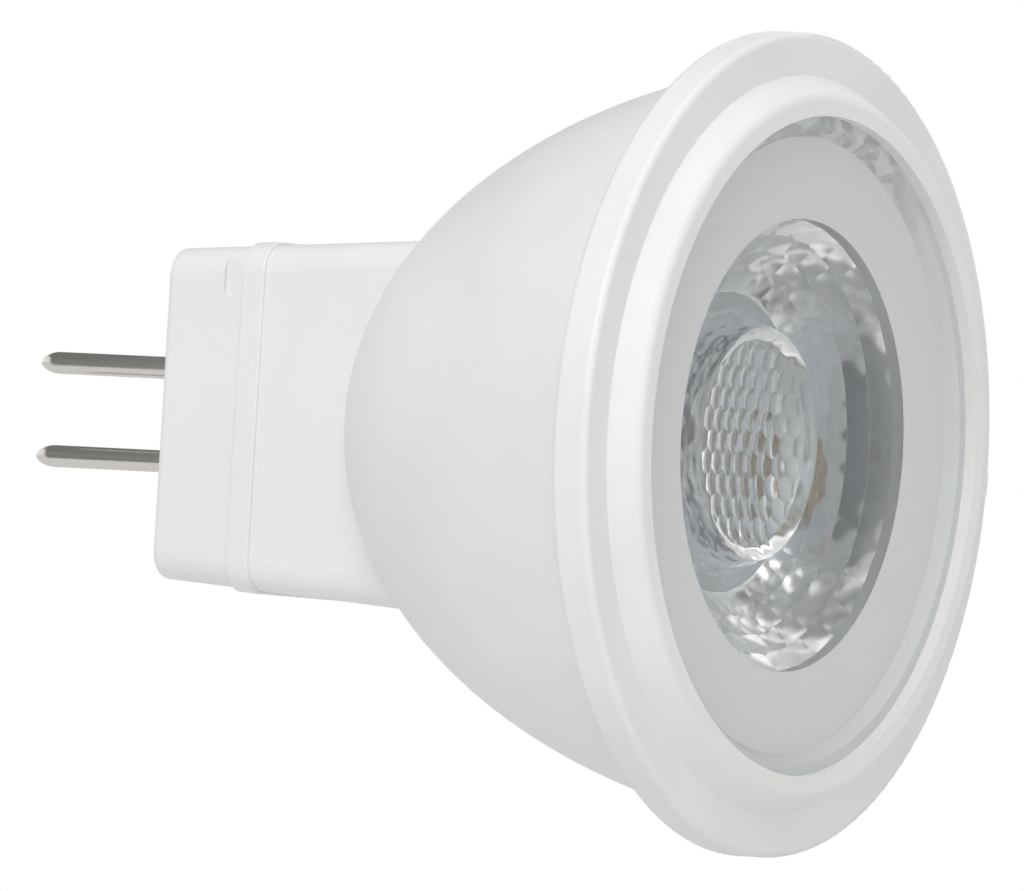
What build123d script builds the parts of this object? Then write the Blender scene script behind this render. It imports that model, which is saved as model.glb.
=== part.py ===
from build123d import *

import os
from math import acos, cos, degrees, hypot, radians, sin, sqrt, tan

# Driving dimensions in millimetres. The lamp's axis is X. The rear face of the base is at
# x = 0, light leaves towards +X, and the two contact pins point to -X, one above the other.

# Housing: front rim, bowl and hollow base
rim_diameter = 35.0
rim_thickness = 1.7
rim_front_x = 28.5
rim_overhang = 1.5
rim_edge = 0.3
bowl_nose_x = 8.4
bowl_half_length = 25.3
shell_wall = 1.4
base_height = 14.1
base_thickness = 8.7
base_side_draft = 3.8
base_face_draft = 1.0
base_corner = 1.2
base_inner_corner = 0.3
base_overlap = 5.5
mouth_depth = 1.2

# Rear cap of the base, with the raised band at its seam and two snap slots
cap_length = 4.9
cap_wall = 0.9
cap_floor = 1.6
cap_edge = 0.35
band_width = 1.1
band_height = 0.15
band_edge = 0.1
slot_length = 2.6
slot_width = 0.75
slot_depth = 0.2
slot_to_band = 0.2
spigot_wall = 0.7
spigot_length = 2.2

# Contact pins
pin_diameter = 0.95
pin_spacing = 4.0
pin_length = 8.5
pin_inner_length = 4.6
pin_tip_length = 0.6
pin_tip_diameter = 0.45
pin_root_diameter = 1.35
pin_collar_diameter = 2.0
pin_collar_length = 0.4

# Lens ring: a conical wall, a lip over the lens, a skirt in the housing's mouth and one key lug
rim_face_width = 1.8
ring_foot = 0.5
ring_height = 1.2
ring_taper = 0.8
ring_lip_width = 0.9
ring_lip_thickness = 0.55
ring_skirt_wall = 0.6
ring_outer_edge = 0.5
ring_inner_edge = 0.3
lug_width = 1.0
lug_height = 0.7
lug_to_rim = 1.4
lug_angle = -3.3

# Lens: dished plate, faceted collimator, pocket over the light source, bulge with a honeycomb of small lenses
dish_margin = 0.9
dish_depth = 0.5
dish_slope = 0.4
optic_diameter = 19.2
optic_depth = 7.0
optic_rear_diameter = 12.8
facet_columns = 36
facet_tiers = 4
pocket_mouth_diameter = 11.4
pocket_top_diameter = 9.9
pocket_depth = 4.4
bulge_diameter = 9.0
bulge_step = 0.9
bulge_crown = 0.7
cell_sides = 6
cell_pitch = 1.05
cell_groove = 0.06
cell_height = 0.12
cell_slope = 40.0
cell_root = 0.05

# Heat sink cup, thermal pad and light source
sink_wall = 1.0
sink_floor = 1.6
pad_thickness = 0.3
pad_margin = 0.3
board_to_cup = 1.05
led_board_thickness = 1.0
led_gap = 0.6
emitter_side = 3.5
emitter_base = 0.6
emitter_dam_diameter = 3.0
emitter_dam_width = 0.35
emitter_dam_height = 0.25
phosphor_crown = 0.15
screw_head_to_edge = 0.3
screw_angle = -6.0
screw_diameter = 1.8
screw_head_diameter = 2.8
screw_head_height = 1.1
screw_slot = 0.5

# Driver board and what is soldered to it
driver_thickness = 0.8
driver_rear_x = 2.5
driver_to_sink = 0.6
driver_edge_gap = 0.2
part_spacing = 1.2
package_draft = 5.0
leg_width = 0.4
leg_reach = 0.4
leg_thickness = 0.2
rectifier_length = 4.0
rectifier_width = 4.6
rectifier_height = 1.2
chip_length = 1.6
chip_width = 2.9
chip_height = 1.1
chip_legs_per_side = 3
inductor_diameter = 4.8
inductor_height = 2.6
inductor_flange = 0.5
inductor_waist = 0.4
capacitor_diameter = 4.0
capacitor_length = 6.0
capacitor_edge = 0.25
capacitor_groove_to_end = 1.0
capacitor_groove_width = 0.5
capacitor_groove_depth = 0.25
capacitor_lead = 0.5
capacitor_lead_reach = 1.0
capacitor_lead_spacing = 2.0
flat_chip_width = 1.6
flat_chip_length = 3.2
ceramic_thickness = 0.7
resistor_thickness = 0.5
resistor_spacing = 0.4
end_cap_length = 0.5
end_cap_step = 0.05

# Leads from the driver board to the light source
lead_diameter = 0.9
lead_on_board = 4.6
lead_to_edge = 0.1
lead_tail = 1.9
lead_bend = 0.9
lead_hole_gap = 0.2

# Clearances
fit_gap = 0.1
seat_gap = 0.05

# Levels along the axis
rim_rear_x = rim_front_x - rim_thickness
seat_x = rim_front_x - mouth_depth
lip_x = rim_front_x + ring_height
lip_under_x = lip_x - ring_lip_thickness
lens_rim_x = lip_under_x - seat_gap
lens_face_x = lens_rim_x - dish_depth
lens_rear_x = seat_x - optic_depth
pocket_top_x = lens_rear_x + pocket_depth
bulge_rim_x = pocket_top_x - bulge_step
bulge_nose_x = bulge_rim_x - bulge_crown
emitter_top_x = lens_rear_x - led_gap
emitter_height = emitter_base + emitter_dam_height + phosphor_crown
led_face_x = emitter_top_x - emitter_height
led_rear_x = led_face_x - led_board_thickness
floor_front_x = led_rear_x - pad_thickness
floor_rear_x = floor_front_x - sink_floor
driver_front_x = floor_rear_x - driver_to_sink
base_end_x = bowl_nose_x + base_overlap

# Radii
rim_radius = rim_diameter / 2
bowl_center_x = bowl_nose_x + bowl_half_length
bowl_mouth_radius = rim_radius - rim_overhang
mouth_share = (rim_rear_x - bowl_center_x) / bowl_half_length
bowl_radius = bowl_mouth_radius / sqrt(1 - mouth_share * mouth_share)
ring_radius = rim_radius - rim_face_width
mouth_radius = ring_radius - ring_foot
skirt_radius = mouth_radius - fit_gap
skirt_inner_radius = skirt_radius - ring_skirt_wall
lip_outer_radius = ring_radius - ring_taper
lip_radius = lip_outer_radius - ring_lip_width
lens_radius = skirt_inner_radius - fit_gap
dish_radius = lip_radius - dish_margin
optic_radius = optic_diameter / 2
optic_rear_radius = optic_rear_diameter / 2
bulge_radius = bulge_diameter / 2
bulge_sphere_radius = (bulge_radius**2 + bulge_crown**2) / (2 * bulge_crown)
pin_radius = pin_diameter / 2
lead_radius = lead_diameter / 2

# Insets of the base's nested walls and of the cup, from the outside
spigot_inset = cap_wall + fit_gap
base_wall = spigot_inset + spigot_wall
sink_inset = shell_wall + fit_gap
sink_inner_inset = sink_inset + sink_wall

# The light source's board fits in the cup, with its screws at its edge
cup_half_length = bowl_half_length - sink_inner_inset
cup_share = (floor_front_x - bowl_center_x) / cup_half_length
cup_radius = (bowl_radius - sink_inner_inset) * sqrt(1 - cup_share * cup_share)
led_board_radius = cup_radius - board_to_cup
screw_radius = led_board_radius - screw_head_to_edge - screw_head_diameter / 2

# The driver board lies against the pins, with its solder side towards +Y
driver_face_y = pin_radius
driver_back_y = driver_face_y + driver_thickness
lead_y = driver_back_y + lead_radius

lamp_axis = Axis.X
os.makedirs("parts", exist_ok=True)


def base_section(x, inset):
    height = base_height + 2 * x * tan(radians(base_side_draft)) - 2 * inset
    thickness = base_thickness + 2 * x * tan(radians(base_face_draft)) - 2 * inset
    corner = max(base_corner - inset, base_inner_corner)
    with BuildSketch(Plane.YZ.offset(x)) as section:
        RectangleRounded(thickness, height, corner)
    return section.sketch


def base_half_thickness(x):
    return base_thickness / 2 + x * tan(radians(base_face_draft))


def base_half_height(x):
    return base_height / 2 + x * tan(radians(base_side_draft))


def bowl_section(front_x, inset):
    length_radius = bowl_half_length - inset
    mouth_angle = degrees(acos((front_x - bowl_center_x) / length_radius))
    with BuildSketch(Plane.XY) as section:
        with BuildLine():
            wall = EllipticalCenterArc(
                (bowl_center_x, 0),
                length_radius,
                bowl_radius - inset,
                start_angle=mouth_angle,
                arc_size=180 - mouth_angle,
            )
            Polyline(wall @ 1, (front_x, 0), wall @ 0)
        make_face()
    return section.sketch


def axis_disc(rear_x, length, radius):
    with BuildSketch(Plane.YZ.offset(rear_x)) as section:
        Circle(radius)
    return extrude(section.sketch, amount=length, mode=Mode.PRIVATE)


def finish(part, name):
    part.label = name
    export_step(part, f"parts/{name}.step")


# Housing: one moulding of bowl, rim and hollow base, with a spigot for the rear cap
with BuildSketch(Plane.XY) as rim_section:
    with Locations((rim_rear_x, 0)):
        Rectangle(rim_thickness, rim_radius, align=Align.MIN)
    fillet(rim_section.vertices().group_by(Axis.Y)[-1], rim_edge)

with BuildPart() as housing:
    revolve(bowl_section(rim_front_x, 0), axis=lamp_axis)
    revolve(rim_section.sketch, axis=lamp_axis)
    loft([base_section(cap_length, 0), base_section(base_end_x, 0)])
    revolve(bowl_section(rim_front_x, shell_wall), axis=lamp_axis, mode=Mode.SUBTRACT)
    add(axis_disc(seat_x, mouth_depth, mouth_radius), mode=Mode.SUBTRACT)
    loft(
        [base_section(cap_length, base_wall), base_section(base_end_x, base_wall)],
        mode=Mode.SUBTRACT,
    )
    spigot_rear_x = cap_length - spigot_length
    loft([base_section(spigot_rear_x, spigot_inset), base_section(cap_length, spigot_inset)])
    loft(
        [base_section(spigot_rear_x, base_wall), base_section(cap_length, base_wall)],
        mode=Mode.SUBTRACT,
    )
finish(housing.part, "housing")

# Raised band with soft edges, all round the base
band_rear_x = cap_length - band_width
with BuildPart() as seam_band:
    loft([base_section(band_rear_x, -band_height), base_section(cap_length, -band_height)])
    for band_end in (0, -1):
        fillet(seam_band.edges().group_by(Axis.X)[band_end], band_edge)

# Rear cap: hollow end of the base with pin holes, raised band at the seam and snap slots
with BuildPart() as base_cap:
    loft([base_section(0, 0), base_section(cap_length, 0)])
    fillet(base_cap.edges().group_by(Axis.X)[0], cap_edge)
    add(seam_band.part)
    slot_x = band_rear_x - slot_to_band - slot_width / 2
    slot_y = base_half_thickness(slot_x) - slot_depth
    slot_z = base_half_height(slot_x) - slot_length / 2 + slot_width / 2
    for side in (1, -1):
        slot_plane = Plane(
            origin=(slot_x, -side * slot_y, side * slot_z), x_dir=(0, 0, 1), z_dir=(0, -side, 0)
        )
        with BuildSketch(slot_plane):
            SlotOverall(slot_length, slot_width)
        extrude(amount=slot_depth + band_height, mode=Mode.SUBTRACT)
    loft(
        [base_section(cap_floor, cap_wall), base_section(cap_length, cap_wall)],
        mode=Mode.SUBTRACT,
    )
    with BuildSketch(Plane.YZ):
        with GridLocations(0, pin_spacing, 1, 2):
            Circle(pin_root_diameter / 2 + seat_gap)
    extrude(amount=cap_floor, mode=Mode.SUBTRACT)
finish(base_cap.part, "base_cap")

# Contact pins: blunt conical tip, thick root pressed in the cap's floor, swaged collar inside
pin_profile = [
    (-pin_length, 0),
    (-pin_length, pin_tip_diameter / 2),
    (-pin_length + pin_tip_length, pin_radius),
    (0, pin_radius),
    (0, pin_root_diameter / 2),
    (cap_floor, pin_root_diameter / 2),
    (cap_floor, pin_collar_diameter / 2),
    (cap_floor + pin_collar_length, pin_collar_diameter / 2),
    (cap_floor + pin_collar_length, pin_radius),
    (pin_inner_length, pin_radius),
    (pin_inner_length, 0),
]
for name, pin_z in (("contact_pin_upper", pin_spacing / 2), ("contact_pin_lower", -pin_spacing / 2)):
    with BuildPart() as contact_pin:
        with BuildSketch(Plane.XY.offset(pin_z)):
            with BuildLine():
                Polyline(*pin_profile, close=True)
            make_face()
        revolve(axis=Axis((0, 0, pin_z), (1, 0, 0)))
    finish(contact_pin.part, name)

# Lens ring: stands on the rim's face, leans in to its rounded lip, which holds the lens
ring_profile = [
    (rim_front_x, ring_radius),
    (lip_x, lip_outer_radius),
    (lip_x, lip_radius),
    (lip_under_x, lip_radius),
    (lip_under_x, skirt_inner_radius),
    (seat_x, skirt_inner_radius),
    (seat_x, skirt_radius),
    (rim_front_x, skirt_radius),
]
with BuildPart() as lens_ring:
    with BuildSketch(Plane.XY) as ring_section:
        with BuildLine():
            Polyline(*ring_profile, close=True)
        make_face()
        lip_corners = ring_section.vertices().group_by(Axis.X)[-1].sort_by(Axis.Y)
        fillet(lip_corners[-1], ring_outer_edge)
        fillet(lip_corners[0], ring_inner_edge)
    revolve(axis=lamp_axis)
    lug_plane = Plane.YZ.offset(rim_front_x).rotated((lug_angle, 0, 0))
    lug_inner = (skirt_radius + skirt_inner_radius) / 2
    lug_reach = rim_radius - lug_to_rim - lug_inner
    with BuildSketch(lug_plane):
        with Locations((lug_inner, 0)):
            Rectangle(lug_reach, lug_width, align=(Align.MIN, Align.CENTER))
    extrude(amount=lug_height)
finish(lens_ring.part, "lens_ring")


# Lens: the collimator is a stack of frustums with flat facets, each turned half a facet
# against the next, on a parabola that widens from the pocket to the plate
def optic_radius_at(x):
    share = (x - lens_rear_x) / optic_depth
    return sqrt(optic_rear_radius**2 + share * (optic_radius**2 - optic_rear_radius**2))


plate_profile = [
    (seat_x, 0),
    (seat_x, lens_radius),
    (lens_rim_x, lens_radius),
    (lens_rim_x, dish_radius + dish_slope),
    (lens_face_x, dish_radius),
    (lens_face_x, 0),
]
pocket_profile = [
    (bulge_nose_x, 0),
    (lens_rear_x, 0),
    (lens_rear_x, pocket_mouth_diameter / 2),
    (pocket_top_x, pocket_top_diameter / 2),
    (bulge_rim_x, bulge_radius),
]
tier_length = optic_depth / facet_tiers

# Each cell of the honeycomb stands square on the bulge, a little sunk into it
bulge_center = Vector(bulge_nose_x + bulge_sphere_radius, 0, 0)
cell_reach = bulge_radius - cell_pitch / 2
cell_radius = (cell_pitch - cell_groove) / 2
row_step = cell_pitch * sqrt(3) / 2
row_count = int(cell_reach / row_step)
cell_planes = []
for row in range(-row_count, row_count + 1):
    row_shift = cell_pitch / 2 if row % 2 else 0
    column_count = int(cell_reach / cell_pitch) + 1
    for column in range(-column_count, column_count + 1):
        cell_y = column * cell_pitch + row_shift
        cell_z = row * row_step
        away = hypot(cell_y, cell_z)
        if away <= cell_reach:
            cell_depth = sqrt(bulge_sphere_radius**2 - away**2)
            outward = Vector(-cell_depth, cell_y, cell_z).normalized()
            cell_foot = bulge_center + outward * (bulge_sphere_radius - cell_root)
            cell_planes.append(Plane(cell_foot, x_dir=(0, 1, 0), z_dir=outward))

with BuildPart() as lens:
    with BuildSketch(Plane.XY):
        with BuildLine():
            Polyline(*plate_profile, close=True)
        make_face()
    revolve(axis=lamp_axis)
    for tier in range(facet_tiers):
        tier_rear_x = lens_rear_x + tier * tier_length
        tier_front_x = tier_rear_x + tier_length
        turn = 180 / facet_columns * (tier % 2)
        with BuildSketch(Plane.YZ.offset(tier_rear_x)):
            RegularPolygon(optic_radius_at(tier_rear_x), facet_columns, rotation=turn)
        with BuildSketch(Plane.YZ.offset(tier_front_x)):
            RegularPolygon(optic_radius_at(tier_front_x), facet_columns, rotation=turn)
        loft()
    with BuildSketch(Plane.XY):
        with BuildLine():
            pocket_wall = Polyline(*pocket_profile)
            RadiusArc(pocket_wall @ 0, pocket_wall @ 1, bulge_sphere_radius)
        make_face()
    revolve(axis=lamp_axis, mode=Mode.SUBTRACT)
    with BuildSketch(*cell_planes):
        RegularPolygon(cell_radius, cell_sides, major_radius=False, rotation=180 / cell_sides)
    extrude(amount=cell_root + cell_height, taper=cell_slope)
finish(lens.part, "lens")

# Places that pass through the light source's board, its pad and the cup's floor; each lead
# follows an edge of the driver board
driver_half_width = base_half_height(driver_rear_x) - base_wall - driver_edge_gap
lead_z = driver_half_width - lead_to_edge - lead_radius
screw_y = screw_radius * cos(radians(screw_angle))
screw_z = screw_radius * sin(radians(screw_angle))
screw_centers = [(screw_y, screw_z), (-screw_y, -screw_z)]
lead_centers = [(lead_y, lead_z), (lead_y, -lead_z)]
screw_hole_radius = screw_diameter / 2 + seat_gap
lead_hole_radius = lead_radius + lead_hole_gap

# Heat sink: aluminium cup inside the bowl, with a flat floor for the light source
with BuildPart() as cup_space:
    revolve(bowl_section(seat_x, sink_inner_inset), axis=lamp_axis)
    split(bisect_by=Plane.YZ.offset(floor_front_x), keep=Keep.TOP)

with BuildPart() as heat_sink:
    revolve(bowl_section(seat_x, sink_inset), axis=lamp_axis)
    split(bisect_by=Plane.YZ.offset(floor_rear_x), keep=Keep.TOP)
    add(cup_space.part, mode=Mode.SUBTRACT)
    with BuildSketch(Plane.YZ.offset(floor_rear_x)):
        with Locations(*screw_centers):
            Circle(screw_hole_radius)
        with Locations(*lead_centers):
            Circle(lead_hole_radius)
    extrude(amount=sink_floor, mode=Mode.SUBTRACT)
finish(heat_sink.part, "heat_sink")

# Thermal pad and light-source board: two stacked discs with the same holes
disc_stack = (
    ("thermal_pad", floor_front_x, pad_thickness, led_board_radius - pad_margin),
    ("led_board", led_rear_x, led_board_thickness, led_board_radius),
)
for name, disc_x, disc_thickness, disc_radius in disc_stack:
    with BuildPart() as disc:
        with BuildSketch(Plane.YZ.offset(disc_x)):
            Circle(disc_radius)
            with Locations(*screw_centers):
                Circle(screw_hole_radius, mode=Mode.SUBTRACT)
            with Locations(*lead_centers):
                Circle(lead_hole_radius, mode=Mode.SUBTRACT)
        extrude(amount=disc_thickness)
    finish(disc.part, name)

# Light source: ceramic base, dam ring and crowned phosphor fill
dam_radius = emitter_dam_diameter / 2
fill_radius = dam_radius - emitter_dam_width
fill_x = led_face_x + emitter_base + emitter_dam_height
with BuildPart() as led_emitter:
    with BuildSketch(Plane.YZ.offset(led_face_x)):
        Rectangle(emitter_side, emitter_side)
    extrude(amount=emitter_base)
    chamfer(led_emitter.edges().filter_by(Axis.X), emitter_base)
    with BuildSketch(Plane.YZ.offset(led_face_x + emitter_base)):
        Circle(dam_radius)
    extrude(amount=emitter_dam_height)
    with BuildSketch(Plane.XY):
        with BuildLine():
            crown = ThreePointArc(
                (fill_x, fill_radius),
                (fill_x + phosphor_crown, 0),
                (fill_x, -fill_radius),
            )
            Line(crown @ 1, crown @ 0)
        make_face()
        split(bisect_by=Plane.XZ, keep=Keep.BOTTOM)
    revolve(axis=lamp_axis)
finish(led_emitter.part, "led_emitter")

# Two pan-head screws hold the board to the cup
with BuildPart() as board_screws:
    with BuildSketch(Plane.YZ.offset(floor_rear_x)):
        with Locations(*screw_centers):
            Circle(screw_diameter / 2)
    extrude(amount=led_face_x - floor_rear_x)
    with BuildSketch(Plane.YZ.offset(led_face_x)):
        with Locations(*screw_centers):
            Circle(screw_head_diameter / 2)
    extrude(amount=screw_head_height)
    with BuildSketch(Plane.YZ.offset(led_face_x + screw_head_height)):
        with Locations(*screw_centers):
            Rectangle(screw_slot, screw_head_diameter)
    extrude(amount=-screw_head_height / 2, mode=Mode.SUBTRACT)
finish(board_screws.part, "board_screws")

# Driver board: stands on edge along the axis, its rear end soldered to the pins
driver_length = driver_front_x - driver_rear_x
driver_middle_x = (driver_front_x + driver_rear_x) / 2
with BuildPart() as driver_board:
    with BuildSketch(Plane.XZ.offset(-driver_back_y)):
        with Locations((driver_middle_x, 0)):
            RectangleRounded(driver_length, 2 * driver_half_width, driver_thickness / 2)
    extrude(amount=driver_thickness)
finish(driver_board.part, "driver_board")


def part_plane(x, z, outward, x_dir=(1, 0, 0)):
    # outward -1 is the side with the tall parts, outward 1 is the solder side
    face_y = driver_face_y if outward < 0 else driver_back_y
    return Plane(origin=(x, face_y, z), x_dir=x_dir, z_dir=(0, outward, 0))


# Bridge rectifier: moulded block on four flat legs
rectifier_x = pin_inner_length + fit_gap + leg_reach + rectifier_length / 2
with BuildPart() as bridge_rectifier:
    with BuildSketch(part_plane(rectifier_x, 0, 1)):
        Rectangle(rectifier_length, rectifier_width)
    extrude(amount=rectifier_height, taper=package_draft)
    with BuildSketch(part_plane(rectifier_x, 0, 1)):
        with GridLocations(0, rectifier_width / 2, 1, 2):
            Rectangle(rectifier_length + 2 * leg_reach, leg_width)
    extrude(amount=leg_thickness)
finish(bridge_rectifier.part, "bridge_rectifier")

# Inductor: ferrite drum with its winding between two flanges
inductor_x = pin_inner_length + fit_gap + inductor_diameter / 2
with BuildPart() as power_inductor:
    with BuildSketch(part_plane(inductor_x, 0, -1)):
        Circle(inductor_diameter / 2)
    extrude(amount=inductor_height)
    with BuildSketch(part_plane(inductor_x, 0, -1).offset(inductor_flange)):
        Circle(inductor_diameter / 2)
        Circle(inductor_diameter / 2 - inductor_waist, mode=Mode.SUBTRACT)
    extrude(amount=inductor_height - 2 * inductor_flange, mode=Mode.SUBTRACT)
finish(power_inductor.part, "power_inductor")

# Smoothing capacitor: a can lying across the board's front end on two bent leads
capacitor_x = driver_front_x - capacitor_diameter / 2
capacitor_y = driver_face_y - capacitor_diameter / 2
capacitor_end_z = -capacitor_length / 2
lead_drop_z = capacitor_end_z - capacitor_lead_reach
groove_z = capacitor_end_z + capacitor_groove_to_end
with BuildPart() as smoothing_capacitor:
    with BuildSketch(Plane.XY.offset(capacitor_end_z)):
        with Locations((capacitor_x, capacitor_y)):
            Circle(capacitor_diameter / 2)
    extrude(amount=capacitor_length)
    fillet(smoothing_capacitor.edges(), capacitor_edge)
    with BuildSketch(Plane.XY.offset(groove_z)):
        with Locations((capacitor_x, capacitor_y)):
            Circle(capacitor_diameter / 2)
            Circle(capacitor_diameter / 2 - capacitor_groove_depth, mode=Mode.SUBTRACT)
    extrude(amount=capacitor_groove_width, mode=Mode.SUBTRACT)
    for shift in (-capacitor_lead_spacing / 2, capacitor_lead_spacing / 2):
        with BuildLine() as lead_path:
            FilletPolyline(
                (capacitor_x + shift, capacitor_y, capacitor_end_z),
                (capacitor_x + shift, capacitor_y, lead_drop_z),
                (capacitor_x + shift, driver_face_y, lead_drop_z),
                radius=capacitor_lead,
            )
        with BuildSketch(Plane(lead_path.line @ 0, z_dir=lead_path.line % 0)):
            Circle(capacitor_lead / 2)
        sweep(path=lead_path.line)
finish(smoothing_capacitor.part, "smoothing_capacitor")

# Driver chip: small moulded body with three legs on each side
chip_x = rectifier_x + rectifier_length / 2 + part_spacing + chip_length / 2
with BuildPart() as driver_chip:
    with BuildSketch(part_plane(chip_x, 0, 1)):
        Rectangle(chip_length, chip_width)
    extrude(amount=chip_height, taper=package_draft)
    with BuildSketch(part_plane(chip_x, 0, 1)):
        with GridLocations(0, chip_width / chip_legs_per_side, 1, chip_legs_per_side):
            Rectangle(chip_length + 2 * leg_reach, leg_width)
    extrude(amount=leg_thickness)
finish(driver_chip.part, "driver_chip")

# Flat chip parts with metal end caps: two ceramic capacitors and two current-sense resistors
ceramic_x = chip_x + chip_length / 2 + part_spacing + flat_chip_width / 2
ceramic_z = flat_chip_length / 2 + fit_gap
resistor_z = rectifier_width / 2 + resistor_spacing + flat_chip_width / 2
chip_pairs = (
    ("ceramic_capacitors", ceramic_thickness, ceramic_x, ceramic_z, (1, 0, 0)),
    ("sense_resistors", resistor_thickness, rectifier_x, resistor_z, (0, 0, 1)),
)
for name, thickness, pair_x, pair_z, across in chip_pairs:
    with BuildPart() as chip_pair:
        for side in (1, -1):
            chip_plane = part_plane(pair_x, side * pair_z, 1, across)
            with BuildSketch(chip_plane):
                Rectangle(flat_chip_width, flat_chip_length)
            extrude(amount=thickness - end_cap_step)
            with BuildSketch(chip_plane):
                with GridLocations(0, flat_chip_length - end_cap_length, 1, 2):
                    Rectangle(flat_chip_width, end_cap_length)
            extrude(amount=thickness)
    finish(chip_pair.part, name)

# Insulated leads: along the driver board, straight through the cup's floor, bent down on the board
for name, side in (("lead_positive", 1), ("lead_negative", -1)):
    with BuildPart() as lead:
        with BuildLine() as lead_path:
            FilletPolyline(
                (driver_front_x - lead_on_board, lead_y, side * lead_z),
                (led_face_x + lead_radius, lead_y, side * lead_z),
                (led_face_x + lead_radius, lead_y, side * (lead_z + lead_tail)),
                radius=lead_bend,
            )
        with BuildSketch(Plane(lead_path.line @ 0, z_dir=lead_path.line % 0)):
            Circle(lead_radius)
        sweep(path=lead_path.line)
    finish(lead.part, name)
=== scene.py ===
import math

import bmesh
import bpy
from mathutils import Matrix, Vector
from mathutils.geometry import delaunay_2d_cdt
from mathutils.kdtree import KDTree


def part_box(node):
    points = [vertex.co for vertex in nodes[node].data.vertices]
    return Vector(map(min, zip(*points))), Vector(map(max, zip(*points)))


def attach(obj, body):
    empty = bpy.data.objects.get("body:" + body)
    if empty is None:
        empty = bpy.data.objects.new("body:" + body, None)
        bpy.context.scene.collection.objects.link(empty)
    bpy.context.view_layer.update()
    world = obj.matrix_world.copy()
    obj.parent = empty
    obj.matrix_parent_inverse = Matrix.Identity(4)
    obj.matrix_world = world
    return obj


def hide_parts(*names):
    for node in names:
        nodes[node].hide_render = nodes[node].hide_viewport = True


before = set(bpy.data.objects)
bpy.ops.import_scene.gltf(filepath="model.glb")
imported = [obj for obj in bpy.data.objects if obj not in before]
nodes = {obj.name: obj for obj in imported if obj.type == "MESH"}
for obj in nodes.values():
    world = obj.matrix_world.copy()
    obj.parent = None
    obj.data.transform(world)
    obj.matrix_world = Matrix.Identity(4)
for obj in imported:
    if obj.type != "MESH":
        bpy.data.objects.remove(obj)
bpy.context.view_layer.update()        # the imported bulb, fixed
mm = 0.001

print("frame loaded:", len(nodes), "nodes")


# Colour, nodes and materials

def toLinear(hexColour):  # "#RRGGBB" in sRGB to linear RGBA
    parts = [int(hexColour[i:i + 2], 16) / 255 for i in (1, 3, 5)]
    return [p / 12.92 if p <= 0.04045 else ((p + 0.055) / 1.055) ** 2.4 for p in parts] + [1.0]


# Settings are a node's attributes or sockets, links are its sockets with the outputs that feed them
def addNode(tree, kind, settings=None, links=None):
    node = tree.nodes.new(kind)
    for key, value in (settings or {}).items():
        if isinstance(key, str) and hasattr(node, key):
            setattr(node, key, value)
        else:
            node.inputs[key].default_value = value
    for key, output in (links or {}).items():
        tree.links.new(output, node.inputs[key])
    return node


def newMaterial(name, shaderSettings):  # a tree with only its principled shader and output
    material = bpy.data.materials.new(name)
    material.use_nodes = True
    tree = material.node_tree
    tree.nodes.clear()
    shader = addNode(tree, "ShaderNodeBsdfPrincipled", shaderSettings)
    addNode(tree, "ShaderNodeOutputMaterial", links={"Surface": shader.outputs["BSDF"]})
    return material, tree, shader


def perMetre(size):  # texture scale for a pattern whose features are this far apart
    return 1 / size


# PBT, injection moulded in a spark-eroded tool: even white, satin, with a fine pebble in the gloss
def mouldedWhite():
    pebbleSize = 0.22 * mm                                # the real pebble is finer, drawn coarser to show
    driftSize = 6 * mm                                    # slow change of tone
    material, tree, shader = newMaterial("white PBT, moulded", {"Roughness": 0.42, "IOR": 1.53})
    place = addNode(tree, "ShaderNodeTexCoord").outputs["Object"]
    pebble = addNode(tree, "ShaderNodeTexNoise", {"Scale": perMetre(pebbleSize), "Detail": 3.0},
                     {"Vector": place})
    drift = addNode(tree, "ShaderNodeTexNoise", {"Scale": perMetre(driftSize), "Detail": 2.0},
                    {"Vector": place})
    tone = addNode(tree, "ShaderNodeValToRGB", links={"Fac": drift.outputs[0]})
    for stop, position, colour in zip(tone.color_ramp.elements, (0.3, 0.7), ("#E8E8E6", "#ECECEA")):
        stop.position = position
        stop.color = toLinear(colour)
    satin = addNode(tree, "ShaderNodeMapRange", {"To Min": 0.36, "To Max": 0.5}, {"Value": pebble.outputs[0]})
    relief = addNode(tree, "ShaderNodeBump", {"Strength": 0.35, "Distance": 0.004 * mm},
                     {"Height": pebble.outputs[0]})
    tree.links.new(tone.outputs["Color"], shader.inputs["Base Color"])
    tree.links.new(satin.outputs[0], shader.inputs["Roughness"])
    tree.links.new(relief.outputs["Normal"], shader.inputs["Normal"])
    return material


acrylicIor = 1.49


# Acrylic, moulded clear: bends what lies behind it, with a tool ripple and a gloss that drifts a little
def clearAcrylic(name, low, high, ripple, depth, strength):
    material, tree, shader = newMaterial(name, {
        "Base Color": toLinear("#FBFCFC"), "Roughness": low, "IOR": acrylicIor, "Transmission Weight": 1.0})
    place = addNode(tree, "ShaderNodeTexCoord").outputs["Object"]
    wave = addNode(tree, "ShaderNodeTexNoise", {"Scale": perMetre(ripple), "Detail": 1.0},
                   {"Vector": place})
    gloss = addNode(tree, "ShaderNodeMapRange", {"To Min": low, "To Max": high}, {"Value": wave.outputs[0]})
    relief = addNode(tree, "ShaderNodeBump", {"Strength": strength, "Distance": depth},
                     {"Height": wave.outputs[0]})
    tree.links.new(gloss.outputs[0], shader.inputs["Roughness"])
    tree.links.new(relief.outputs["Normal"], shader.inputs["Normal"])
    return material


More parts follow.
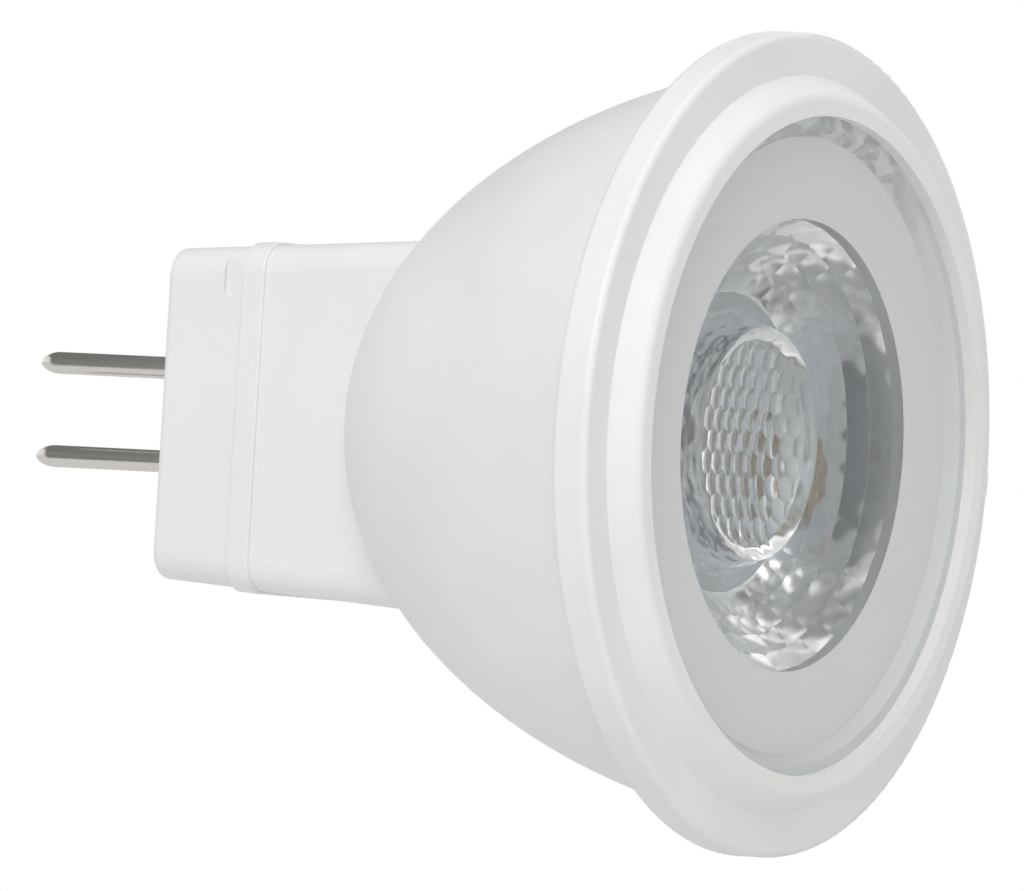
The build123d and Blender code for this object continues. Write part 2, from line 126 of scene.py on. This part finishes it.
# Acrylic, moulded in a blasted tool: milky grey, lets light through but no image, with a very fine grit.
# Smears of clear glue, where there are any, show as darker streaks round the top.
def frostedAcrylic(name, haze, roughness, through, clear=0.0, smears=0.0):
    gritSize = 0.09 * mm                                  # the real grit is finer, drawn coarser to show
    smearSize = 1.3 * mm
    smearFrom = 8 * mm                                    # height above the axis where smears begin
    smearFull = 12.5 * mm                                 # and where they are at their strongest
    material, tree, shader = newMaterial(name, {
        "Base Color": toLinear(haze), "Roughness": roughness, "IOR": acrylicIor,
        "Transmission Weight": clear})
    place = addNode(tree, "ShaderNodeTexCoord").outputs["Object"]
    grit = addNode(tree, "ShaderNodeTexNoise", {"Scale": perMetre(gritSize), "Detail": 2.0},
                   {"Vector": place})
    relief = addNode(tree, "ShaderNodeBump", {"Strength": 0.4, "Distance": 0.006 * mm},
                     {"Height": grit.outputs[0]})
    glow = addNode(tree, "ShaderNodeBsdfTranslucent", {"Color": toLinear(haze)},
                   {"Normal": relief.outputs["Normal"]})
    both = addNode(tree, "ShaderNodeMixShader", {0: through}, {1: shader.outputs[0], 2: glow.outputs[0]})
    if smears:
        streak = addNode(tree, "ShaderNodeTexNoise",
                         {"Scale": perMetre(smearSize), "Detail": 2.0, "Distortion": 1.5}, {"Vector": place})
        edge = addNode(tree, "ShaderNodeMapRange",
                       {"From Min": 0.48, "From Max": 0.54, "To Min": 0.0, "To Max": smears},
                       {"Value": streak.outputs[0]})
        height = addNode(tree, "ShaderNodeSeparateXYZ", links={"Vector": place})
        upper = addNode(tree, "ShaderNodeMapRange", {"From Min": smearFrom, "From Max": smearFull},
                        {"Value": height.outputs["Z"]})
        share = addNode(tree, "ShaderNodeMath", {"operation": "MULTIPLY_ADD", 2: through},
                        {0: edge.outputs[0], 1: upper.outputs[0]})
        tree.links.new(share.outputs[0], both.inputs[0])
    tree.links.new(relief.outputs["Normal"], shader.inputs["Normal"])
    tree.links.new(both.outputs[0], tree.nodes["Material Output"].inputs["Surface"])
    return material


# Brass wire, drawn and nickel plated: bright grey metal with faint lines along the pin
def platedPin():
    lineWidth = 0.05 * mm                                 # about as fine as the render can show
    lineLength = 6 * mm
    material, tree, shader = newMaterial("nickel plated brass, drawn", {
        "Base Color": toLinear("#DEDBD6"), "Metallic": 1.0, "Roughness": 0.22})
    place = addNode(tree, "ShaderNodeTexCoord").outputs["Object"]
    stretch = addNode(tree, "ShaderNodeMapping", {"Scale": (lineWidth / lineLength, 1, 1)},
                      {"Vector": place})
    lines = addNode(tree, "ShaderNodeTexNoise", {"Scale": perMetre(lineWidth), "Detail": 2.0},
                    {"Vector": stretch.outputs[0]})
    gloss = addNode(tree, "ShaderNodeMapRange", {"To Min": 0.16, "To Max": 0.3}, {"Value": lines.outputs[0]})
    relief = addNode(tree, "ShaderNodeBump", {"Strength": 0.2, "Distance": 0.002 * mm},
                     {"Height": lines.outputs[0]})
    tree.links.new(gloss.outputs[0], shader.inputs["Roughness"])
    tree.links.new(relief.outputs["Normal"], shader.inputs["Normal"])
    return material


# Aluminium sheet, pressed to a cup: dull silver with rings from the press tool
def pressedAluminium():
    ringStep = 0.4 * mm                                   # one radian of the pattern: rings 2.5 mm apart
    waveFactor = 20                                       # radians in a unit of the wave texture
    material, tree, shader = newMaterial("aluminium, pressed", {
        "Base Color": toLinear("#D8DADC"), "Metallic": 1.0, "Roughness": 0.4})
    place = addNode(tree, "ShaderNodeTexCoord").outputs["Object"]
    rings = addNode(tree, "ShaderNodeTexWave", {
        "wave_type": "BANDS", "bands_direction": "X", "Scale": perMetre(ringStep) / waveFactor,
        "Distortion": 2.0}, {"Vector": place})
    gloss = addNode(tree, "ShaderNodeMapRange", {"To Min": 0.34, "To Max": 0.48}, {"Value": rings.outputs[0]})
    tree.links.new(gloss.outputs[0], shader.inputs["Roughness"])
    return material


# A finish of two near tones in fine specks, with a slight relief, for the smaller pieces and the studio
def specked(name, tones, roughness, speckSize, metallic=0.0):
    material, tree, shader = newMaterial(name, {"Roughness": roughness, "Metallic": metallic})
    place = addNode(tree, "ShaderNodeTexCoord").outputs["Object"]
    speck = addNode(tree, "ShaderNodeTexNoise", {"Scale": perMetre(speckSize), "Detail": 3.0},
                    {"Vector": place})
    tone = addNode(tree, "ShaderNodeValToRGB", links={"Fac": speck.outputs[0]})
    for stop, position, colour in zip(tone.color_ramp.elements, (0.35, 0.65), tones):
        stop.position = position
        stop.color = toLinear(colour)
    relief = addNode(tree, "ShaderNodeBump", {"Strength": 0.25, "Distance": 0.01 * mm},
                     {"Height": speck.outputs[0]})
    tree.links.new(tone.outputs["Color"], shader.inputs["Base Color"])
    tree.links.new(relief.outputs["Normal"], shader.inputs["Normal"])
    return material


def wear(names, material):  # these nodes keep their shape and get this finish
    for name in names:
        nodes[name].data.materials.clear()
        nodes[name].data.materials.append(material)


wear(["housing", "base_cap", "lens_ring"], mouldedWhite())
wear(["heat_sink"], pressedAluminium())
wear(["thermal_pad"],                                     # dull grey rubber
     specked("silicone pad, cast", ("#757980", "#7E8289"), 0.7, 0.2 * mm))
wear(["led_board"],                                       # smooth, cool white
     specked("white solder mask, screened", ("#E6F1F9", "#ECF5FB"), 0.35, 0.5 * mm))
wear(["led_emitter"],                                     # warm yellow gel
     specked("phosphor in silicone, cast", ("#E8C64A", "#F0D66A"), 0.3, 0.1 * mm))
wear(["board_screws"],                                    # small tan glints behind the lens
     specked("steel, turned, yellow zinc plated", ("#988B70", "#AFA287"), 0.3, 0.15 * mm, metallic=1.0))
wear(["driver_board"],                                    # deep green, half gloss
     specked("glass-fibre board, green mask", ("#12522E", "#176138"), 0.35, 0.4 * mm))
wear(["bridge_rectifier", "driver_chip", "sense_resistors"],  # flat black
     specked("epoxy, moulded black", ("#1B1B1D", "#242427"), 0.55, 0.1 * mm))
wear(["power_inductor"],                                  # dark grey, stony
     specked("ferrite, ground", ("#2A2A2D", "#38383B"), 0.5, 0.15 * mm))
wear(["smoothing_capacitor"],                             # clean silver
     specked("aluminium can, drawn", ("#B9BCC0", "#C6C9CC"), 0.3, 0.2 * mm, metallic=1.0))
wear(["ceramic_capacitors"],                              # tan eggshell
     specked("ceramic, fired", ("#8F7654", "#9C8462"), 0.45, 0.1 * mm))
wear(["lead_positive", "lead_negative"],                  # soft off-white
     specked("PVC lead, extruded", ("#DDDDD8", "#E4E4DF"), 0.4, 0.3 * mm))

print("finishes on", sum(1 for n in nodes.values() if n.data.materials), "nodes")


# Rings, bands and pieces turned round an axis along X

def axisRing(bm, x, radii, height=0):  # one ring of points round an axis at this height
    count = len(radii)
    turns = [2 * math.pi * i / count for i in range(count)]
    return [bm.verts.new((x, r * math.cos(t), r * math.sin(t) + height)) for r, t in zip(radii, turns)]


def ringBand(bm, ringA, ringB, finish=0):  # a strip of quads between two rings
    count = len(ringA)
    for i in range(count):
        j = (i + 1) % count
        face = bm.faces.new((ringA[i], ringA[j], ringB[j], ringB[i]))
        face.material_index = finish
        face.smooth = True


def sharpEdge(a, b):  # a crisp edge between two neighbouring points
    for edge in a.link_edges:
        if edge.other_vert(a) is b:
            edge.smooth = False


def sharpRing(ring):  # a crisp edge all round
    for a, b in zip(ring, ring[1:] + ring[:1]):
        sharpEdge(a, b)


def addPiece(bm, name, node):  # a finished mesh that stands for a node
    bmesh.ops.remove_doubles(bm, verts=bm.verts, dist=1e-6 * mm)
    bmesh.ops.recalc_face_normals(bm, faces=bm.faces)
    mesh = bpy.data.meshes.new(name)
    bm.to_mesh(mesh)
    bm.free()
    piece = bpy.data.objects.new(name, mesh)
    bpy.context.scene.collection.objects.link(piece)
    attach(piece, "root")
    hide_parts(node)
    return mesh


# Lens: dished plate, crowned facets round the collimator, pocket with a honeycomb of small domes

lens = {
    "plate": 1.8 * mm, "dishDepth": 0.5 * mm, "dishRadius": 13.1 * mm, "dishSlope": 0.4 * mm,
    "seatGap": 0.049 * mm,                                # how far the rim goes on, up to the ring's lip
    "opticRadius": 9.6 * mm, "opticRear": 6.4 * mm, "columns": 36, "tiers": 4,
    "pocketMouth": 5.7 * mm, "pocketTop": 4.95 * mm, "pocketDepth": 4.4 * mm,
    "bulgeRadius": 4.5 * mm, "bulgeStep": 0.9 * mm, "bulgeCrown": 0.7 * mm,
    "cellPitch": 1.05 * mm, "cellHeight": 0.09 * mm, "cellSteps": 5, "cellMargin": 0.12 * mm,
    "facetCrown": 0.06 * mm, "facetSteps": 8, "tierSteps": 6,
}


def facetRadii(cornerRadius, turned, crown):  # a polygon of crowned sides, sampled round the axis
    steps = lens["facetSteps"]
    half = math.pi / lens["columns"]
    radii = []
    for i in range(lens["columns"] * steps):
        side = ((i + turned * steps // 2) % steps) / steps * 2 - 1    # -1 to 1 across the facet
        flat = cornerRadius * math.cos(half) / math.cos(side * half)
        radii.append(flat + crown * (1 - side * side))
    return radii


def honeycomb(bm, rim, noseX, finish):  # small domes all over the bulge
    pitch = lens["cellPitch"]
    reach = lens["bulgeRadius"]
    crown = lens["bulgeCrown"]
    rowStep = pitch * math.sqrt(3) / 2
    step = pitch / math.sqrt(3) / lens["cellSteps"]                   # between points of the mesh
    rimClear = 0.6 * step                                             # points stay this far inside the rim
    sphere = (reach * reach + crown * crown) / (2 * crown)
    rows = int(reach / rowStep) + 2                                   # enough to run past the rim
    centres = [((c + 0.5 * (r % 2)) * pitch, r * rowStep)
               for r in range(-rows, rows + 1) for c in range(-rows, rows + 1)]
    tree = KDTree(len(centres))
    for i, (y, z) in enumerate(centres):
        tree.insert((y, z, 0), i)
    tree.balance()
    count = int(reach / step) * 2
    points = [Vector(v.co.yz) / mm for v in rim]
    for i in range(-count, count + 1):
        for j in range(-count, count + 1):
            spot = Vector((j * math.sqrt(3) / 2, i + j / 2)) * step
            if spot.length < reach - rimClear:
                points.append(spot / mm)
    found = delaunay_2d_cdt(points, [], [], 0, 1e-5)                  # plain triangles, sizes in mm
    verts = []
    for spot in found[0]:
        y = spot.x * mm
        z = spot.y * mm
        away = tree.find((y, z, 0))[2]
        dome = 1 - 3 * (away / pitch) ** 2                            # 1 at a cell's middle, 0 at its corners
        inward = min(1, (reach - math.hypot(y, z)) / lens["cellMargin"])
        bulgeX = noseX + sphere - math.sqrt(sphere * sphere - y * y - z * z)
        verts.append(bm.verts.new((bulgeX - lens["cellHeight"] * max(0, dome) * inward, y, z)))
    cells = {}                                                        # which cell each face belongs to
    for corners in found[2]:
        face = bm.faces.new([verts[i] for i in corners])
        face.smooth = True
        face.material_index = finish
        middle = face.calc_center_median()
        cells[face] = tree.find((middle.y, middle.z, 0))[1]
    for edge in {e for f in cells for e in f.edges}:                  # crisp where two cells meet
        owners = {cells[f] for f in edge.link_faces if f in cells}
        edge.smooth = len(owners) == 1


def lensMaterials():  # in the order in which buildLens counts them
    return [
        clearAcrylic("acrylic, polished",                 # as clear as glass
                     low=0.01, high=0.03, ripple=3 * mm, depth=0.002 * mm, strength=0.1),
        clearAcrylic("acrylic, facet cut tool",           # a soft sparkle
                     low=0.1, high=0.18, ripple=0.8 * mm, depth=0.01 * mm, strength=0.1),
        clearAcrylic("acrylic, rippled tool",             # breaks up what lies behind
                     low=0.05, high=0.1, ripple=1.1 * mm, depth=0.25 * mm, strength=0.5),
        frostedAcrylic("acrylic, frosted",                # even and milky
                       haze="#F9FAFA", roughness=0.55, through=0.33),
        frostedAcrylic("acrylic, satin, with glue smears",  # milky with a sheen, streaked at the top
                       haze="#F6F8F9", roughness=0.3, through=0.42, smears=0.2),
        frostedAcrylic("acrylic, matt",                   # half clear, blurs what lies behind
                       haze="#F6F8F9", roughness=0.35, through=0.35, clear=1.0),
    ]


def buildLens():
    low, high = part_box("lens")
    around = lens["columns"] * lens["facetSteps"]
    faceX = high.x - lens["dishDepth"]
    plateX = high.x - lens["plate"]
    rimX = high.x + lens["seatGap"]
    tierLength = (plateX - low.x) / lens["tiers"]
    topX = low.x + lens["pocketDepth"]
    bulgeX = topX - lens["bulgeStep"]
    polished, faceted, rippled, frosted, satin, matt = range(6)

    def parabola(x):  # the collimator's outline
        share = (x - low.x) / (plateX - low.x)
        rearSquare = lens["opticRear"] ** 2
        return math.sqrt(rearSquare + share * (lens["opticRadius"] ** 2 - rearSquare))

    bm = bmesh.new()
    plate = [(faceX, lens["opticRadius"]), (faceX, lens["dishRadius"]),
             (rimX, lens["dishRadius"] + lens["dishSlope"]), (rimX, high.y), (plateX, high.y)]
    pocket = [(low.x, lens["pocketMouth"]), (topX, lens["pocketTop"]), (bulgeX, lens["bulgeRadius"])]
    rings = [axisRing(bm, x, [r] * around) for x, r in plate]
    bands = [frosted, satin, satin, satin, polished]                  # finish of the band after each ring
    window = bm.faces.new(rings[0])
    window.material_index = polished
    for tier in reversed(range(lens["tiers"])):                       # from the plate back to the pocket
        rearX = low.x + tier * tierLength
        rear = parabola(rearX)
        front = parabola(rearX + tierLength)
        for row in range(lens["tierSteps"] + 1):
            along = 1 - row / lens["tierSteps"]
            crown = lens["facetCrown"] * (1 - (2 * along - 1) ** 2)
            radii = facetRadii(rear + along * (front - rear), tier % 2, crown)
            rings.append(axisRing(bm, rearX + along * tierLength, radii))
            bands.append(faceted)
    bands[-1] = matt                                                  # the seat round the pocket's mouth
    rings += [axisRing(bm, x, [r] * around) for x, r in pocket]
    bands += [rippled, faceted]                                       # the pocket's wall and top
    for ringA, ringB, finish in zip(rings, rings[1:], bands):
        ringBand(bm, ringA, ringB, finish)
    honeycomb(bm, rings[-1], bulgeX - lens["bulgeCrown"], faceted)
    tierRings = lens["tierSteps"] + 1
    steps = lens["facetSteps"]
    for i, ring in enumerate(rings):
        tierFromPlate, row = divmod(i - len(plate), tierRings)
        inTiers = len(plate) <= i < len(rings) - len(pocket)
        if not inTiers or row in (0, lens["tierSteps"]):
            sharpRing(ring)
        if inTiers and row < lens["tierSteps"]:                       # facet corners run along the tier
            tier = lens["tiers"] - 1 - tierFromPlate
            firstCorner = (tier % 2) * steps // 2
            for a, b in list(zip(ring, rings[i + 1]))[firstCorner::steps]:
                sharpEdge(a, b)
    mesh = addPiece(bm, "lens_optic", "lens")
    for material in lensMaterials():
        mesh.materials.append(material)
    print("lens:", len(mesh.vertices), "points,", len(mesh.polygons), "faces")


buildLens()


# Contact pins: rounded nose, thick root in the cap's floor and a swaged collar inside

pin = {
    "radius": 0.475 * mm, "root": 0.675 * mm, "capFloor": 1.6 * mm, "collar": 0.4 * mm,
    "nose": 0.9 * mm, "nosePower": 1.1,                   # a power of 1 gives an ellipse, 2 a cone
    "noseSteps": 12, "around": 64,
}


def buildPin(name, node, material):
    low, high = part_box(node)
    height = (low.z + high.z) / 2
    collarRadius = (high.z - low.z) / 2
    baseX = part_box("base_cap")[0].x
    floorX = baseX + pin["capFloor"]
    collarX = floorX + pin["collar"]
    profile = []
    for step in range(1, pin["noseSteps"] + 1):
        turn = math.pi / 2 * step / pin["noseSteps"]
        along = 1 - math.cos(turn) ** pin["nosePower"]
        profile.append((low.x + pin["nose"] * along, pin["radius"] * math.sin(turn) ** pin["nosePower"]))
    smoothRings = len(profile)
    profile += [(baseX, pin["radius"]), (baseX, pin["root"]), (floorX, pin["root"]), (floorX, collarRadius),
                (collarX, collarRadius), (collarX, pin["radius"]), (high.x, pin["radius"])]
    bm = bmesh.new()
    rings = [axisRing(bm, x, [r] * pin["around"], height) for x, r in profile]
    tip = bm.verts.new((low.x, 0, height))
    for a, b in zip(rings[0], rings[0][1:] + rings[0][:1]):
        bm.faces.new((tip, a, b)).smooth = True
    for ringA, ringB in zip(rings, rings[1:]):
        ringBand(bm, ringA, ringB)
    bm.faces.new(rings[-1])
    for ring in rings[smoothRings:]:
        sharpRing(ring)
    mesh = addPiece(bm, name, node)
    mesh.materials.append(material)


plating = platedPin()
for side in ("upper", "lower"):
    buildPin("pin_" + side, "contact_pin_" + side, plating)
    print("pin:", side)


# Camera, in the photograph's place

view = {
    "azimuth": 29.85, "elevation": -1.1, "roll": 3.45,    # degrees
    "distance": 1500 * mm, "pixelsPerMm": 23.5,
    "targetX": 14.56 * mm, "targetPixel": (505.5, 431.3),  # a point on the axis, and where it shows
    "image": (1024, 891), "sensor": 36.0,
    "near": 0.1, "far": 20,                               # metres
}


def placeCamera():
    a, e, roll = (math.radians(view[k]) for k in ("azimuth", "elevation", "roll"))
    back = Vector((math.sin(a) * math.cos(e), -math.cos(a) * math.cos(e), math.sin(e)))
    level = Vector((math.cos(a), math.sin(a), 0))
    upright = back.cross(level)
    right = level * math.cos(roll) + upright * math.sin(roll)
    up = upright * math.cos(roll) - level * math.sin(roll)
    width, height = view["image"]
    aside = (width / 2 - view["targetPixel"][0]) / view["pixelsPerMm"] * mm
    below = (height / 2 - view["targetPixel"][1]) / view["pixelsPerMm"] * mm
    data = bpy.data.cameras.new("camera")
    data.sensor_width = view["sensor"]
    data.lens = view["sensor"] * view["distance"] / (width / view["pixelsPerMm"] * mm)
    data.clip_start = view["near"]
    data.clip_end = view["far"]
    camera = bpy.data.objects.new("camera", data)
    place = Vector((view["targetX"], 0, 0)) + back * view["distance"] + right * aside - up * below
    turn = Matrix((right, up, back)).transposed().to_4x4()
    camera.matrix_world = Matrix.Translation(place) @ turn
    bpy.context.scene.collection.objects.link(camera)
    bpy.context.scene.camera = camera


placeCamera()
print("camera placed")


# Studio: white surround, pale floor, three soft lamps and a grey card that only reflections see

studio = {
    "surround": 0.47, "paper": 1.0,                       # light from all round, and the white that shows
    "floorZ": -32 * mm, "floorRadius": 1.6, "floorSides": 96,
    "lampDistance": 1.0, "lampSize": 0.7,                 # metres
    "lamps": [                                            # name, direction from the bulb, watts
        ("key", (0.2, -0.8, 0.55), 4.3),
        ("top", (0.0, -0.1, 1.0), 2.0),
        ("front", (1.0, -0.2, 0.1), 1.3),
    ],
    "cardX": -50 * mm,                                    # behind the pins; its outline is Y and Z in mm
    "cardOutline": [(-110, -30), (-50, -30), (-20, 32), (110, 32), (110, 110), (-110, 110)],
    "bounces": {"max": 32, "diffuse": 8, "glossy": 32, "transmission": 32},  # light stays long in the lens
}


def surround():  # soft light on the bulb, and plain white where the camera or a reflection sees past it
    world = bpy.data.worlds.new("studio")
    bpy.context.scene.world = world
    world.use_nodes = True
    tree = world.node_tree
    tree.nodes.clear()
    white = toLinear("#FFFFFF")
    path = addNode(tree, "ShaderNodeLightPath")
    light = addNode(tree, "ShaderNodeBackground", {"Color": white, "Strength": studio["surround"]})
    paper = addNode(tree, "ShaderNodeBackground", {"Color": white, "Strength": studio["paper"]})
    either = addNode(tree, "ShaderNodeMath", {"operation": "MAXIMUM"},
                     {0: path.outputs["Is Camera Ray"], 1: path.outputs["Is Glossy Ray"]})
    seen = addNode(tree, "ShaderNodeMath", {"operation": "MAXIMUM"},
                   {0: either.outputs[0], 1: path.outputs["Is Transmission Ray"]})
    both = addNode(tree, "ShaderNodeMixShader",
                   links={0: seen.outputs[0], 1: light.outputs[0], 2: paper.outputs[0]})
    addNode(tree, "ShaderNodeOutputWorld", links={"Surface": both.outputs[0]})


def stagePiece(name, corners, material):  # one flat face of the studio
    bm = bmesh.new()
    bm.faces.new([bm.verts.new(c) for c in corners])
    mesh = bpy.data.meshes.new(name)
    bm.to_mesh(mesh)
    bm.free()
    mesh.materials.append(material)
    piece = bpy.data.objects.new(name, mesh)
    bpy.context.scene.collection.objects.link(piece)
    return piece


def setStudio():
    surround()
    turns = [2 * math.pi * i / studio["floorSides"] for i in range(studio["floorSides"])]
    floor = [(studio["floorRadius"] * math.cos(t), studio["floorRadius"] * math.sin(t), studio["floorZ"])
             for t in turns]
    stagePiece("floor", floor,                            # pale, takes a soft shadow
               specked("white paper, matt", ("#F0F0F0", "#F2F2F2"), 0.9, 1 * mm))
    outline = [(studio["cardX"], y * mm, z * mm) for y, z in studio["cardOutline"]]
    card = stagePiece("grey_card", outline,               # the dark stripe along the pins
                      specked("grey card, matt", ("#747474", "#787878"), 0.9, 1 * mm))
    card.visible_camera = False
    card.visible_diffuse = False
    card.visible_transmission = False
    card.visible_shadow = False
    for name, direction, watts in studio["lamps"]:
        data = bpy.data.lights.new(name, "AREA")
        data.shape = "DISK"
        data.size = studio["lampSize"]
        data.energy = watts
        lamp = bpy.data.objects.new(name, data)
        toward = Vector(direction).normalized()
        lamp.location = Vector((view["targetX"], 0, 0)) + toward * studio["lampDistance"]
        lamp.rotation_euler = toward.to_track_quat("Z", "Y").to_euler()
        bpy.context.scene.collection.objects.link(lamp)
    for kind, count in studio["bounces"].items():
        setattr(bpy.context.scene.cycles, kind + "_bounces", count)
    bpy.context.scene.view_settings.view_transform = "Standard"


setStudio()
print("studio set")
